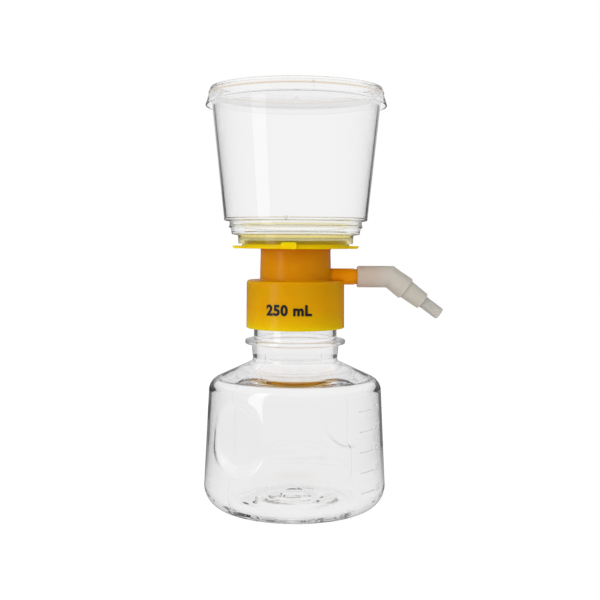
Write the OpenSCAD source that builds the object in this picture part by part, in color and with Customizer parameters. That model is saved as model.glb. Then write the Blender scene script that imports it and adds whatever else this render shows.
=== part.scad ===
// Vacuum filtration unit: a receiver bottle, a screw-on filter base with a vacuum side arm,
// a covered funnel cup above the membrane, and a hose adapter that turns on the side arm.
// Origin: centre of the bottle's foot, on the surface it stands on. +Z up, side arm towards +X.

/* [Receiver bottle] */
// Largest outside diameter, just above the heel
bottle_d = 88.8; // [82:0.2:96]
// Taper of the side wall, from the heel up to the shoulder, on the radius
bottle_taper = 2.3; // [0.5:0.1:3]
// Height of the straight side wall's top edge
bottle_side_h = 57.5; // [57.5:0.5:70]
// Height of the shoulder above the side wall
shoulder_h = 13.4; // [12:0.2:22]
// Slope of the shoulder's straight part, in degrees from level
shoulder_slope = 25; // [15:1:28]
// Radius of the rounding between the side wall and the shoulder
shoulder_round = 7; // [4:0.5:8]
// Wall thickness of the bottle
bottle_wall = 1.3; // [0.8:0.1:2]
// Thickness of the bottle's floor
bottle_floor = 2.2; // [1.5:0.1:3]
// Radius of the rounded heel
heel_r = 11; // [8:0.5:13]
// Rise of the arched underside at the middle
punt_h = 3.6; // [2:0.1:5]
// Diameter of the stiffening step in the underside
punt_ring_d = 36; // [28:1:48]
// Diameter of the small mark left by the moulding gate in the underside
punt_boss_d = 15; // [10:1:20]
// Height of the two steps in the underside
punt_step = 0.7; // [0.3:0.1:1]

/* [Grip panels] */
// Diameter of each round flat
grip_d = 35; // [26:0.5:36]
// Depth of the flat at its middle
grip_depth = 2.7; // [1.5:0.1:3.2]
// How far the flat's centre lies below the side wall's top edge
grip_drop = 18.5; // [18.5:0.5:24]
// Width of the sloping edge around the flat
grip_edge = 4.5; // [0.5:0.1:6]
// Direction of the first flat, seen from above, from +X towards +Y
grip_azimuth = 230; // [200:1:250]

/* [Bottle neck] */
// Outside diameter of the threaded neck
neck_d = 40.4; // [36:0.2:46]
// Wall thickness of the neck
neck_wall = 1.8; // [1:0.1:2.4]
// How much wider the neck is at the shoulder, on the radius
neck_low_out = 0.4; // [0:0.1:1.5]
// How much wider the neck is just under the support ring, on the radius
neck_ring_out = 1.1; // [0:0.1:2]
// How far the support ring stands out from the neck
ring_out = 4.2; // [3:0.1:7]
// Support ring thickness
ring_t = 2; // [1.4:0.1:3]
// Rounding of the support ring's edge
ring_round = 0.5; // [0.2:0.1:0.6]
// Height of the support ring above the shoulder
ring_rise = 9.2; // [5:0.1:12]
// Length of the neck from the ring's top to the mouth
neck_reach = 25.2; // [20:0.1:32]
// Fillet between the shoulder and the neck
neck_fillet = 2; // [1:0.5:4]

/* [Neck gasket] */
// Thickness of the gasket
gasket_t = 1.5; // [1:0.1:2.5]
// How far the gasket reaches inside the neck's bore
gasket_lap = 0.8; // [0.4:0.1:1.6]
// Gap between the gasket's edge and the collar
gasket_gap = 0.4; // [0.3:0.1:0.8]

/* [Filter base collar] */
// Room for the screw thread between neck and collar, on the radius
thread_room = 1.9; // [1.5:0.1:2.4]
// Height of the screw collar
collar_h = 23.2; // [18:0.1:24]
// Wall thickness of the collar
collar_wall = 1.8; // [1.2:0.1:2]
// Thickness of the plate that joins collar and tube
web_t = 2.2; // [1.6:0.1:3]
// Rounding of the collar's top edge
collar_fillet = 1.3; // [0.6:0.1:1.6]
// Rounding of the collar's bottom edge
collar_lip_r = 0.5; // [0.3:0.1:0.7]
// Taper of the collar, from bottom to top, on the radius
collar_draft = 0.15; // [0:0.05:0.4]

/* [Filter base tube] */
// Outside diameter of the tube at its foot
tube_d = 34.6; // [32:0.2:37]
// Taper of the tube, from foot to top, on the radius
tube_draft = 0.3; // [0:0.1:0.6]
// Fillets at the tube's foot and top
tube_fillet = 0.9; // [0.4:0.1:1.4]
// Length of the tube between the collar and the disc
tube_h = 15.3; // [12:0.1:20]
// Wall thickness of the tube
tube_wall = 1.5; // [1:0.1:2]
// Bore of the drip spout
spout_bore_d = 5; // [4:0.2:6]
// Wall thickness of the drip spout at its tip
spout_wall = 1; // [0.8:0.1:1.6]
// Taper of the drip spout, from root to tip, on the radius
spout_taper = 1; // [0.4:0.1:1.6]
// How far the spout's tip reaches below the bottle's mouth
spout_reach = 6; // [3:0.5:12]
// Number of gussets between spout and tube
gusset_count = 4; // [3:1:6]
// Thickness of a gusset
gusset_t = 1.2; // [0.8:0.1:2]
// Height of a gusset at the tube wall
gusset_h = 6; // [4:0.5:8]

/* [Membrane support] */
// Diameter of the raised land that carries the membrane
land_d = 50.4; // [46:0.2:56]
// Height of the land above the disc
land_h = 1.4; // [1:0.1:2]
// How far the disc stands out around the land
disc_out = 0.85; // [0.6:0.05:2]
// Disc thickness
disc_t = 2.3; // [2:0.1:3.5]
// Rounding of the disc's edges
disc_round = 0.4; // [0.2:0.1:0.6]
// Width of the land's flat rim around the drained area
land_rim_w = 2.2; // [1.5:0.1:3]
// Depth of the drain channels
drain_depth = 1.3; // [0.8:0.1:1.6]
// Thickness of each ring-shaped rib
rib_t = 0.9; // [0.6:0.1:1.2]
// Distance between neighbouring ring-shaped ribs
rib_pitch = 3; // [2.4:0.1:4]
// Number of radial drain channels
channel_count = 8; // [4:1:12]
// Width of a radial drain channel
channel_w = 1.8; // [1.2:0.1:2.4]
// Thickness of the membrane
membrane_t = 0.3; // [0.2:0.1:0.6]

/* [Wings and key] */
// How far the wings stand out from the disc
wing_out = 4.45; // [2:0.05:7]
// Width of a wing at the disc
wing_w = 15; // [10:0.5:20]
// Width of a wing at its tip
wing_tip_w = 10; // [6:0.5:15]
// Thickness of a wing
wing_t = 1.3; // [1:0.1:2]
// Width of the chamfer under a wing's tip
wing_chamfer = 0.8; // [0.3:0.1:0.9]
// Width of the locating key at its foot
key_w = 7.3; // [5:0.1:10]
// Width of the locating key at its top
key_top_w = 6; // [4:0.1:7]
// Height of the key above the disc
key_rise = 0.8; // [0.4:0.1:1.5]
// Thickness of the key, outwards
key_t = 1.2; // [0.8:0.1:2]
// Direction of the key, seen from above, from +X towards +Y
key_azimuth = 264; // [255:1:285]

/* [Side arm] */
// Height of the arm's underside above the gasket's seat
arm_lift = 0.05; // [0.05:0.05:3]
// Diameter of the arm inside the hose adapter
arm_d = 7.4; // [6.6:0.1:8]
// How much thicker the arm's root is, on the radius
arm_root_out = 0.25; // [0.1:0.05:0.8]
// Length of the thicker root, from the tube
arm_root_l = 11.2; // [9:0.1:14]
// Length of the arm inside the adapter's socket
arm_in_l = 11; // [8:0.5:14]
// Wall thickness of the arm
arm_wall = 1.3; // [0.9:0.1:1.8]
// Length of the porous plug
plug_l = 8; // [5:0.5:10]

/* [Funnel cup] */
// Wall thickness of the flange around the land
flange_wall = 2.7; // [2:0.1:4]
// Height of the flange
flange_h = 4.5; // [3.6:0.1:6]
// How far the lower step stands out from the flange
step_low_out = 3.5; // [2:0.1:5]
// Height of the lower step
step_low_h = 3.1; // [2.4:0.1:4.5]
// How far the thin bead stands out from the lower step
bead_out = 0.85; // [0.3:0.05:1.5]
// Height of the bead
bead_h = 1.1; // [0.8:0.1:1.6]
// How far the upper step stands out from the lower step
step_top_out = 0.5; // [0:0.1:1]
// Height of the upper step
step_top_h = 2.3; // [2:0.1:4]
// How far the cup's lower corner stands out from the upper step
cup_out = 2.6; // [2:0.1:5]
// Draft of the cup wall, in degrees from upright
cup_draft = 5.9; // [4:0.1:7]
// Height of the cup wall
cup_h = 62.5; // [50:0.1:70]
// Wall thickness of the cup
cup_wall = 1.2; // [0.9:0.1:1.6]
// Rounding of the cup's lower corner
cup_corner_r = 1.4; // [0.8:0.1:2]
// Width of the membrane's edge that the flange holds down
hold_w = 2; // [1:0.1:3]
// Height of the thicker band at the rim
rim_band_h = 5.8; // [4:0.2:12]
// Extra radius of the band at its lower edge
rim_band_t = 0.4; // [0.2:0.1:0.8]

/* [Lid] */
// Thickness of the lid
lid_t = 1; // [0.8:0.1:1.4]
// Depth of the skirt below the lid's top face
lid_skirt_h = 8.6; // [7:0.2:12]
// Height of the skirt's upright part, from the lid's top face
lid_upright_h = 3.2; // [2.4:0.2:4]
// Height of the thin lip along the skirt's lower edge
lid_lip_h = 2.4; // [1.5:0.1:3]
// Thickness of the lip
lid_lip_t = 0.6; // [0.4:0.1:0.8]
// Flare of the skirt below its upright part, on the radius
lid_flare = 1.5; // [0.4:0.1:2]
// Rounding of the lid's outer edge
lid_edge_r = 1.5; // [1:0.1:2]
// Gap between the skirt and the cup's rim
lid_gap = 0.3; // [0.3:0.1:0.6]
// Depth of the recessed centre panel
lid_recess = 5.4; // [3:0.2:8]
// Gap between the recess wall and the inside of the cup
lid_plug_gap = 0.7; // [0.5:0.1:1.2]

/* [Hose adapter] */
// Running clearance between adapter and arm, on the radius
swivel_gap = 0.05; // [0.03:0.01:0.09]
// Wall thickness of the adapter's socket
socket_wall = 1.5; // [1.1:0.1:2]
// Gap between the arm's thicker root and the socket
socket_gap = 1.5; // [0.5:0.1:3]
// Distance from the arm's end to where the elbow's two axes meet
bend_l = 5; // [4.5:0.1:8]
// Angle of the hose end below the side arm
bend_angle = 36.5; // [20:0.5:50]
// Passage through the adapter
passage_d = 4; // [3:0.2:4.6]
// Length of the first, thickest step
step1_l = 9.9; // [8:0.1:14]
// How much the first step widens towards its outer end, on the radius
step1_flare = 0.45; // [0.2:0.05:0.8]
// Length of the second step
step2_l = 10.2; // [8:0.1:14]
// Diameter of the second step at its inner end
step2_d = 9.5; // [8.5:0.1:10.4]
// How much the second step narrows towards its outer end, on the radius
step2_taper = 0.5; // [0.1:0.05:0.8]
// Length of the last step
step3_l = 10.4; // [8:0.1:14]
// Diameter of the last step
step3_d = 6; // [5.6:0.1:7]
// Chamfer at each step's end
step_chamfer = 0.4; // [0.2:0.1:0.6]

/* [Hidden] */
$fn = 96;
eps = 0.01;
arc_steps = 12;

// heights, from the foot upwards
shoulder_z = bottle_side_h + shoulder_h;
grip_z = bottle_side_h - grip_drop;
ring_z = shoulder_z + ring_rise;
mouth_z = ring_z + ring_t + neck_reach;
web_z = mouth_z + gasket_t;
collar_top_z = web_z + web_t;
collar_z = collar_top_z - collar_h;
disc_z = collar_top_z + tube_h;
disc_top_z = disc_z + disc_t;
land_z = disc_top_z + land_h;
membrane_top_z = land_z + membrane_t;
flange_top_z = disc_top_z + flange_h;
bead_z = flange_top_z + step_low_h;
step_top_z = bead_z + bead_h;
cup_z = step_top_z + step_top_h;
rim_z = cup_z + cup_h;
arm_z = web_z + arm_lift + arm_d / 2 + arm_root_out;

// small gap between moulded pieces that are pushed together
push_gap = 0.2;
// gap around the porous plug, and its distance from the arm's end
plug_gap = 0.05;
plug_inset = 1;
// gap between the arm's end and the shoulder inside the adapter
end_gap = 0.5;
// how much the hose end is wider than the socket at the mitre, on the radius
mitre_step = 0.05;
// width of the flat ring that the bottle stands on
foot_w = 1;
// rounding under the cup's lower step, and height of the straight throat above the membrane
foot_round = 1.1;
throat_h = 0.8;

// radii, from the bottle upwards
bottle_r = bottle_d / 2;
bottle_top_r = bottle_r - bottle_taper;
foot_r = bottle_r - heel_r;
neck_r = neck_d / 2;
neck_low_r = neck_r + neck_low_out;
neck_bore_r = neck_r - neck_wall;
ring_r = neck_r + ring_out;
collar_bore_r = neck_r + thread_room;
collar_r = collar_bore_r + collar_wall;
tube_r = tube_d / 2;
tube_bore_r = tube_r - tube_draft - tube_wall;
spout_tip_r = spout_bore_d / 2 + spout_wall;
land_r = land_d / 2;
disc_r = land_r + disc_out;
drain_r = land_r - land_rim_w;
wing_reach = disc_r + wing_out;
flange_r = land_r + push_gap + flange_wall;
step_low_r = flange_r + step_low_out;
step_top_r = step_low_r + step_top_out;
cup_low_r = step_top_r + cup_out;
cup_slope = tan(cup_draft);
rim_inner_r = cup_low_r + cup_slope * cup_h - cup_wall;
band_r = cup_low_r + cup_slope * (cup_h - rim_band_h) + rim_band_t;

// side arm and hose adapter, along the arm from the bottle's axis
arm_r = arm_d / 2;
arm_root_x = tube_r + arm_root_l;
socket_x = arm_root_x + socket_gap;
arm_end_x = socket_x + arm_in_l;
bend_x = arm_end_x + bend_l;
socket_bore_r = arm_r + swivel_gap;
socket_r = socket_bore_r + socket_wall;
leg_l = step1_l + step2_l + step3_l;

// points on a circular or elliptical arc about (x, y), from angle a0 to a1
function arc(x, y, rx, ry, a0, a1) =
    [for (i = [0 : arc_steps])
        let (a = a0 + (a1 - a0) * i / arc_steps)
        [x + rx * cos(a), y + ry * sin(a)]];

// one half of the bottle's side wall outline: heel, side, rounded corner, the shoulder's cone and
// the neck's fillet, moved inwards by wall and with its floor raised by floor_t
function body_outline(wall, floor_t) =
    let (side_r = bottle_top_r - wall,
         corner = shoulder_round - wall,
         fillet = neck_fillet + wall,
         fillet_x = neck_low_r + neck_fillet,
         fillet_z = shoulder_z + neck_fillet,
         cone_l = side_r - corner * (1 - sin(shoulder_slope))
                  - fillet_x + fillet * sin(shoulder_slope),
         corner_z = fillet_z - (fillet + corner) * cos(shoulder_slope)
                    - cone_l * tan(shoulder_slope))
    concat(
        arc(foot_r, heel_r, heel_r - wall, heel_r - floor_t, -90, 0),
        arc(side_r - corner, corner_z, corner, corner, 0, 90 - shoulder_slope),
        arc(fillet_x, fillet_z, fillet, fillet, 270 - shoulder_slope, 180));

// arched underside with its two steps, from the middle to the foot, raised by lift
function punt_outline(lift) =
    [[0, punt_h + lift],
     [punt_boss_d / 2, punt_h + lift],
     [punt_boss_d / 2 + punt_step, punt_h - punt_step + lift],
     [punt_ring_d / 2, punt_h - 2 * punt_step + lift],
     [punt_ring_d / 2 + punt_step, punt_h - 3 * punt_step + lift],
     [foot_r - foot_w, lift]];

module bottle_outside() {
    rotate_extrude()
        polygon(concat(
            punt_outline(0),
            body_outline(0, 0),
            [[neck_r + neck_ring_out, ring_z]],
            arc(ring_r - ring_round, ring_z + ring_round, ring_round, ring_round, -90, 0),
            arc(ring_r - ring_round, ring_z + ring_t - ring_round, ring_round, ring_round, 0, 90),
            [[neck_r, ring_z + ring_t],
             [neck_r, mouth_z],
             [0, mouth_z]]));
}

module bottle_inside() {
    rotate_extrude()
        polygon(concat(
            punt_outline(bottle_floor),
            body_outline(bottle_wall, bottle_floor),
            [[neck_bore_r, shoulder_z + neck_fillet + bottle_wall],
             [neck_bore_r, mouth_z + eps],
             [0, mouth_z + eps]]));
}

// two round flats with sloping edges, opposite each other; inset moves them into the wall
module grip_cuts(inset) {
    cut_l = grip_depth + 3;
    side_r = bottle_r + (bottle_top_r - bottle_r) * (grip_z - heel_r) / (bottle_side_h - heel_r);
    flat_r = grip_d / 2 - grip_edge + inset;
    for (side = [0, 180])
        rotate([0, 0, grip_azimuth + side])
            translate([side_r - grip_depth - inset, 0, grip_z])
                rotate([0, 90, 0])
                    cylinder(h = cut_l, r1 = flat_r, r2 = flat_r + grip_edge * cut_l / grip_depth);
}

module receiver_bottle() {
    color([0.90, 0.93, 0.94, 0.35])
        difference() {
            bottle_outside();
            grip_cuts(0);
            difference() {
                bottle_inside();
                grip_cuts(bottle_wall);
            }
        }
}

module neck_gasket() {
    color([0.88, 0.88, 0.86])
        translate([0, 0, mouth_z])
            difference() {
                cylinder(h = gasket_t, r = collar_bore_r - gasket_gap);
                translate([0, 0, -1])
                    cylinder(h = gasket_t + 2, r = neck_bore_r - gasket_lap);
            }
}

// collar, tube, disc and land of the filter base as one revolved outline
module base_shell() {
    top_r = collar_r - collar_draft;
    neck_top_r = tube_r - tube_draft;
    rotate_extrude()
        polygon(concat(
            [[0, disc_z], [tube_bore_r, disc_z], [tube_bore_r, web_z],
             [collar_bore_r, web_z], [collar_bore_r, collar_z]],
            arc(collar_r - collar_lip_r, collar_z + collar_lip_r, collar_lip_r, collar_lip_r, -90, 0),
            arc(top_r - collar_fillet, collar_top_z - collar_fillet, collar_fillet, collar_fillet, 0, 90),
            arc(tube_r + tube_fillet, collar_top_z + tube_fillet, tube_fillet, tube_fillet, 270, 180),
            arc(neck_top_r + tube_fillet, disc_z - tube_fillet, tube_fillet, tube_fillet, 180, 90),
            arc(disc_r - disc_round, disc_z + disc_round, disc_round, disc_round, -90, 0),
            arc(disc_r - disc_round, disc_top_z - disc_round, disc_round, disc_round, 0, 90),
            [[land_r, disc_top_z], [land_r, land_z], [0, land_z]]));
}

// ring-shaped ribs with radial gaps, standing in the drained area under the membrane
module support_ribs() {
    first_rib_r = spout_bore_d / 2 + rib_pitch / 2;
    difference() {
        for (r = [first_rib_r : rib_pitch : drain_r - rib_t - rib_pitch / 2])
            difference() {
                cylinder(h = drain_depth, r = r + rib_t);
                translate([0, 0, -1])
                    cylinder(h = drain_depth + 2, r = r);
            }
        for (i = [0 : channel_count - 1])
            rotate([0, 0, 360 * i / channel_count])
                translate([0, -channel_w / 2, -1])
                    cube([drain_r, channel_w, drain_depth + 2]);
    }
}

// hollow around the ribs, cut into the land
module drain_channels() {
    translate([0, 0, land_z - drain_depth])
        difference() {
            cylinder(h = drain_depth + 1, r = drain_r);
            support_ribs();
        }
}

// tapered drip spout under the disc, held by gussets inside the tube
module spout() {
    spout_l = disc_z - mouth_z + spout_reach;
    translate([0, 0, disc_z - spout_l])
        cylinder(h = spout_l + eps, r1 = spout_tip_r, r2 = spout_tip_r + spout_taper);
    for (i = [0 : gusset_count - 1])
        rotate([0, 0, 360 * (i + 0.5) / gusset_count])
            rotate([90, 0, 0])
                translate([0, 0, -gusset_t / 2])
                    linear_extrude(gusset_t)
                        polygon([[spout_tip_r, disc_z + eps], [tube_bore_r + eps, disc_z + eps],
                                 [tube_bore_r + eps, disc_z - gusset_h],
                                 [spout_tip_r, disc_z - gusset_h / 2]]);
}

// flat wings to the left and right, flush with the disc's underside, chamfered under the tips
module wings() {
    for (side = [0, 180])
        rotate([0, 0, side])
            translate([0, 0, disc_z])
                intersection() {
                    linear_extrude(wing_t)
                        polygon([[land_r - 1, -wing_w / 2], [wing_reach, -wing_tip_w / 2],
                                 [wing_reach, wing_tip_w / 2], [land_r - 1, wing_w / 2]]);
                    rotate([90, 0, 0])
                        translate([0, 0, -wing_w])
                            linear_extrude(2 * wing_w)
                                polygon([[0, 0], [wing_reach - wing_chamfer, 0],
                                         [wing_reach, wing_chamfer], [wing_reach, wing_t],
                                         [0, wing_t]]);
                }
}

// upright trapezoid in front of the cup's flange, on a lip of the disc
module locating_key() {
    key_r = flange_r + push_gap;
    rotate([0, 0, key_azimuth]) {
        translate([land_r - 1, -key_w / 2, disc_z])
            cube([key_r + key_t - land_r + 1, key_w, disc_t]);
        translate([key_r, 0, disc_top_z - eps])
            rotate([90, 0, 90])
                linear_extrude(key_t)
                    polygon([[-key_w / 2, 0], [key_w / 2, 0],
                             [key_top_w / 2, key_rise], [-key_top_w / 2, key_rise]]);
    }
}

// arm with a thicker root, starting inside the tube's wall
module side_arm() {
    start_x = tube_bore_r + tube_wall / 2;
    translate([start_x, 0, arm_z])
        rotate([0, 90, 0]) {
            cylinder(h = arm_root_x - start_x, r = arm_r + arm_root_out);
            cylinder(h = arm_end_x - start_x, r = arm_r);
        }
}

module filter_base() {
    color([0.95, 0.72, 0.02])
        difference() {
            union() {
                base_shell();
                spout();
                wings();
                locating_key();
                side_arm();
            }
            drain_channels();
            translate([0, 0, collar_z])
                cylinder(h = land_z - collar_z, r = spout_bore_d / 2);
            translate([tube_bore_r - 1, 0, arm_z])
                rotate([0, 90, 0])
                    cylinder(h = arm_end_x - tube_bore_r + 2, r = arm_r - arm_wall);
        }
}

module filter_membrane() {
    color([0.97, 0.97, 0.95])
        translate([0, 0, land_z])
            cylinder(h = membrane_t, r = land_r);
}

module side_arm_plug() {
    color([0.96, 0.96, 0.93])
        translate([arm_end_x - plug_l - plug_inset, 0, arm_z])
            rotate([0, 90, 0])
                cylinder(h = plug_l, r = arm_r - arm_wall - plug_gap);
}

module funnel_cup() {
    throat_r = land_r - hold_w;
    floor_z = cup_z + cup_wall;
    color([0.90, 0.93, 0.94, 0.35])
        rotate_extrude()
            polygon(concat(
                [[land_r + push_gap, disc_top_z], [flange_r, disc_top_z], [flange_r, flange_top_z]],
                arc(step_low_r - foot_round, flange_top_z + foot_round, foot_round, foot_round, -90, 0),
                [[step_low_r, bead_z], [step_low_r + bead_out, bead_z],
                 [step_low_r + bead_out, step_top_z],
                 [step_top_r, step_top_z], [step_top_r, cup_z]],
                arc(cup_low_r - cup_corner_r, cup_z + cup_corner_r, cup_corner_r, cup_corner_r, -90, 0),
                [[cup_low_r + cup_slope * (cup_h - rim_band_h), rim_z - rim_band_h],
                 [band_r, rim_z - rim_band_h], [band_r, rim_z],
                 [rim_inner_r, rim_z]],
                arc(cup_low_r - cup_wall - cup_corner_r, floor_z + cup_corner_r,
                    cup_corner_r, cup_corner_r, 0, -90),
                [[step_top_r - cup_wall, floor_z], [step_top_r - cup_wall, step_top_z],
                 [step_low_r - cup_wall, bead_z], [step_low_r - cup_wall, flange_top_z + cup_wall],
                 [flange_r - cup_wall, flange_top_z + cup_wall],
                 [throat_r, membrane_top_z + throat_h], [throat_r, membrane_top_z],
                 [land_r + push_gap, membrane_top_z]]));
}

module lid() {
    top_z = rim_z + lid_t;
    low_z = top_z - lid_skirt_h;
    skirt_r = band_r + lid_gap;
    outer_r = skirt_r + lid_t;
    lip_r = outer_r + lid_flare * (1 - lid_lip_h / (lid_skirt_h - lid_upright_h));
    plug_r = rim_inner_r - lid_plug_gap;
    plug_low_r = plug_r - cup_slope * lid_recess;
    color([0.90, 0.93, 0.94, 0.35])
        rotate_extrude()
            polygon(concat(
                [[0, top_z - lid_recess], [plug_low_r - lid_t, top_z - lid_recess],
                 [plug_r - lid_t, top_z]],
                arc(outer_r - lid_edge_r, top_z - lid_edge_r, lid_edge_r, lid_edge_r, 90, 0),
                [[outer_r, top_z - lid_upright_h], [outer_r + lid_flare, low_z],
                 [outer_r + lid_flare - lid_lip_t, low_z], [lip_r - lid_lip_t, low_z + lid_lip_h],
                 [lip_r - lid_t, low_z + lid_lip_h], [skirt_r, top_z - lid_upright_h],
                 [skirt_r, rim_z], [plug_r, rim_z],
                 [plug_low_r, rim_z - lid_recess], [0, rim_z - lid_recess]]));
}

// places children along the hose end's axis, starting where the elbow's two axes meet
module along_leg() {
    translate([bend_x, 0, arm_z])
        rotate([0, 90 + bend_angle, 0])
            children();
}

// keeps only the side of the mitre plane that faces away from the bottle (1) or towards it (-1)
module mitre_side(side) {
    reach = 2 * leg_l;
    intersection() {
        children();
        translate([bend_x, 0, arm_z])
            rotate([0, 90 + bend_angle / 2, 0])
                translate([-reach / 2, -reach / 2, side > 0 ? 0 : -reach])
                    cube([reach, reach, reach]);
    }
}

// outside of the hose end: three steps, each with a chamfered end
module leg_steps() {
    root_r = socket_r + mitre_step;
    step1_r = socket_r + step1_flare;
    step2_end_r = step2_d / 2 - step2_taper;
    mitre_l = root_r * tan(bend_angle / 2) + 2 * mitre_step;
    end1 = step1_l;
    end2 = step1_l + step2_l;
    rotate_extrude()
        polygon([[0, -mitre_l], [root_r, -mitre_l], [root_r, mitre_l],
                 [step1_r, end1 - step_chamfer], [step1_r - step_chamfer, end1],
                 [step2_d / 2, end1], [step2_end_r, end2 - step_chamfer],
                 [step2_end_r - step_chamfer, end2], [step3_d / 2, end2],
                 [step3_d / 2, leg_l - step_chamfer], [step3_d / 2 - step_chamfer, leg_l],
                 [0, leg_l]]);
}

// outside of the socket that takes the side arm
module socket() {
    socket_l = bend_x - socket_x + 2 * socket_r;
    translate([socket_x, 0, arm_z])
        rotate([0, 90, 0])
            rotate_extrude()
                polygon([[0, 0], [socket_r - step_chamfer, 0], [socket_r, step_chamfer],
                         [socket_r, socket_l], [0, socket_l]]);
}

// bore for the side arm, then the narrower passage round the bend to the hose end's tip
module adapter_bore() {
    translate([socket_x - 1, 0, arm_z])
        rotate([0, 90, 0])
            cylinder(h = arm_end_x + end_gap - socket_x + 1, r = socket_bore_r);
    mitre_side(-1)
        translate([arm_end_x, 0, arm_z])
            rotate([0, 90, 0])
                cylinder(h = bend_x - arm_end_x + passage_d, r = passage_d / 2 - mitre_step);
    mitre_side(1)
        along_leg()
            translate([0, 0, -passage_d])
                cylinder(h = leg_l + passage_d + 1, r = passage_d / 2);
}

module hose_adapter() {
    color([0.95, 0.94, 0.92])
        difference() {
            union() {
                mitre_side(-1) socket();
                mitre_side(1) along_leg() leg_steps();
            }
            adapter_bore();
        }
}

receiver_bottle();
neck_gasket();
filter_base();
filter_membrane();
side_arm_plug();
funnel_cup();
lid();
hose_adapter();
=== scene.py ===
import bmesh
import bpy
import math
import numpy as np
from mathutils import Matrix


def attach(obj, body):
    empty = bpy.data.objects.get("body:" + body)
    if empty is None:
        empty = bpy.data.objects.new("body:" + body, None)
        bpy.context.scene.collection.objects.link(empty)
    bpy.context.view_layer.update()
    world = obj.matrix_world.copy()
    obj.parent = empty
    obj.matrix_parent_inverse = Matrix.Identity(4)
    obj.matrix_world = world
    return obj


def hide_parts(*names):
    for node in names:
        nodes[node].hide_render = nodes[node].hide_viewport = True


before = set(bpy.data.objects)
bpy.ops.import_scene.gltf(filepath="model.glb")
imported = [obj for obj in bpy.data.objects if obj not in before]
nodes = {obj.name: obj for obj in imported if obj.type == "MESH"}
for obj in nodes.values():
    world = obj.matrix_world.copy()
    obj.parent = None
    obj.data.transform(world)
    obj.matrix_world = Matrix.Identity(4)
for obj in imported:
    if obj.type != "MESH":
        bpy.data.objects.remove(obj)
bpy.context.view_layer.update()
mm = 0.001


def tone(red, green, blue):
    # a display colour of 0 to 255 a channel, made linear
    c = np.array([red, green, blue]) / 255
    return (*np.where(c <= 0.04045, c / 12.92, ((c + 0.055) / 1.055) ** 2.4).tolist(), 1.0)


class Wire:
    # one output of a node; Python arithmetic on it adds Math nodes
    def __init__(self, finish, made, out=0):
        self.finish, self.made = finish, made
        self.socket = made.outputs[out] if made.outputs else None

    def out(self, name):
        return Wire(self.finish, self.made, name)

    def maths(self, operation, *values):
        inputs = dict(enumerate(values))
        return self.finish.node("ShaderNodeMath", {"operation": operation}, inputs)

    def __add__(self, other): return self.maths("ADD", self, other)
    def __radd__(self, other): return self.maths("ADD", other, self)
    def __sub__(self, other): return self.maths("SUBTRACT", self, other)
    def __rsub__(self, other): return self.maths("SUBTRACT", other, self)
    def __mul__(self, other): return self.maths("MULTIPLY", self, other)
    def __rmul__(self, other): return self.maths("MULTIPLY", other, self)
    def __pow__(self, other): return self.maths("POWER", self, other)
    def most(self, other): return self.maths("MAXIMUM", self, other)
    def least(self, other): return self.maths("MINIMUM", self, other)


class Finish:
    # a node tree under construction
    def __init__(self, tree):
        self.tree = tree
        tree.nodes.clear()

    def node(self, kind, settings=None, inputs=None, out=0):
        made = self.tree.nodes.new(kind)
        settings = dict(settings or {})
        stops = settings.pop("stops", None)
        for key, value in settings.items():
            setattr(made, key, value)
        if stops:
            ramp = made.color_ramp.elements
            while len(ramp) < len(stops):
                ramp.new(0.5)
            for element, (position, colour) in zip(ramp, stops):
                element.position, element.color = position, colour
        for key, value in (inputs or {}).items():
            if isinstance(value, Wire):
                self.tree.links.new(value.socket, made.inputs[key])
            else:
                made.inputs[key].default_value = value
        return Wire(self, made, out)

    def blend(self, amount, first, second):
        # first where amount is 0, second where it is 1
        inputs = {0: amount, 6: first, 7: second}
        return self.node("ShaderNodeMix", {"data_type": "RGBA"}, inputs, out=2)


def newFinish(name):
    # a material and its empty node tree
    material = bpy.data.materials.new(name)
    material.use_nodes = True
    return material, Finish(material.node_tree)


def principled(finish, inputs):
    # the Principled shader as the material's surface
    shader = finish.node("ShaderNodeBsdfPrincipled", inputs=inputs)
    finish.node("ShaderNodeOutputMaterial", inputs={"Surface": shader})


def place(finish):
    # each point's own place in metres
    return finish.node("ShaderNodeTexCoord").out("Object")


def noise(finish, scale, detail):
    # cloudy noise over that place, 0 to 1
    inputs = {"Vector": place(finish), "Scale": scale, "Detail": detail}
    return finish.node("ShaderNodeTexNoise", inputs=inputs)


def ramped(value, low, high):
    # 0 up to low, 1 from high on, even between them
    return ((value - low) * (1 / (high - low))).most(0).least(1)


clearSet = {
    # edge is painted shade: the dark grey that clear walls take where they are seen edge on
    "edge": tone(150, 156, 158), "edgePower": 6.0, "edgeShare": 0.05,
    "rippleScale": 55.0, "rippleDepth": 0.00008, "ior": 1.52, "rough": 0.012,
}

bottleLook = {**clearSet, "body": tone(250, 250, 250)}

clear = (251, 251, 251)

cupLook = {
    **clearSet, "rippleDepth": 0.000003, "ior": 1.34, "edgeShare": 0.03, "rough": 0.0,
    # height and tone there: the foot and the ledges over it carry a painted reflection of the
    # disc's yellow, standing in for the light the plastic gathers from it by refraction
    "tones": [
        (130.6, (243, 232, 176)), (132.8, (246, 238, 194)),
        (133.0, (229, 221, 184)), (133.5, (229, 221, 184)), (133.7, clear),
        (136.2, clear), (136.4, (241, 235, 214)), (136.8, (241, 235, 214)), (137.0, clear),
        (139.4, clear), (139.5, (238, 231, 203)), (139.8, (238, 231, 203)), (140.0, clear)],
}

lidLook = {
    **clearSet, "rippleDepth": 0.000003, "ior": 1.14, "edgeShare": 0.02, "rough": 0.0,
    # a painted brownish line where the skirt leaves the rim, standing in for light the plastic
    # gathers there by refraction
    "tones": [
        (200.15, clear), (200.25, (236, 223, 208)), (200.6, (236, 223, 208)), (200.7, clear)],
}


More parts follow.
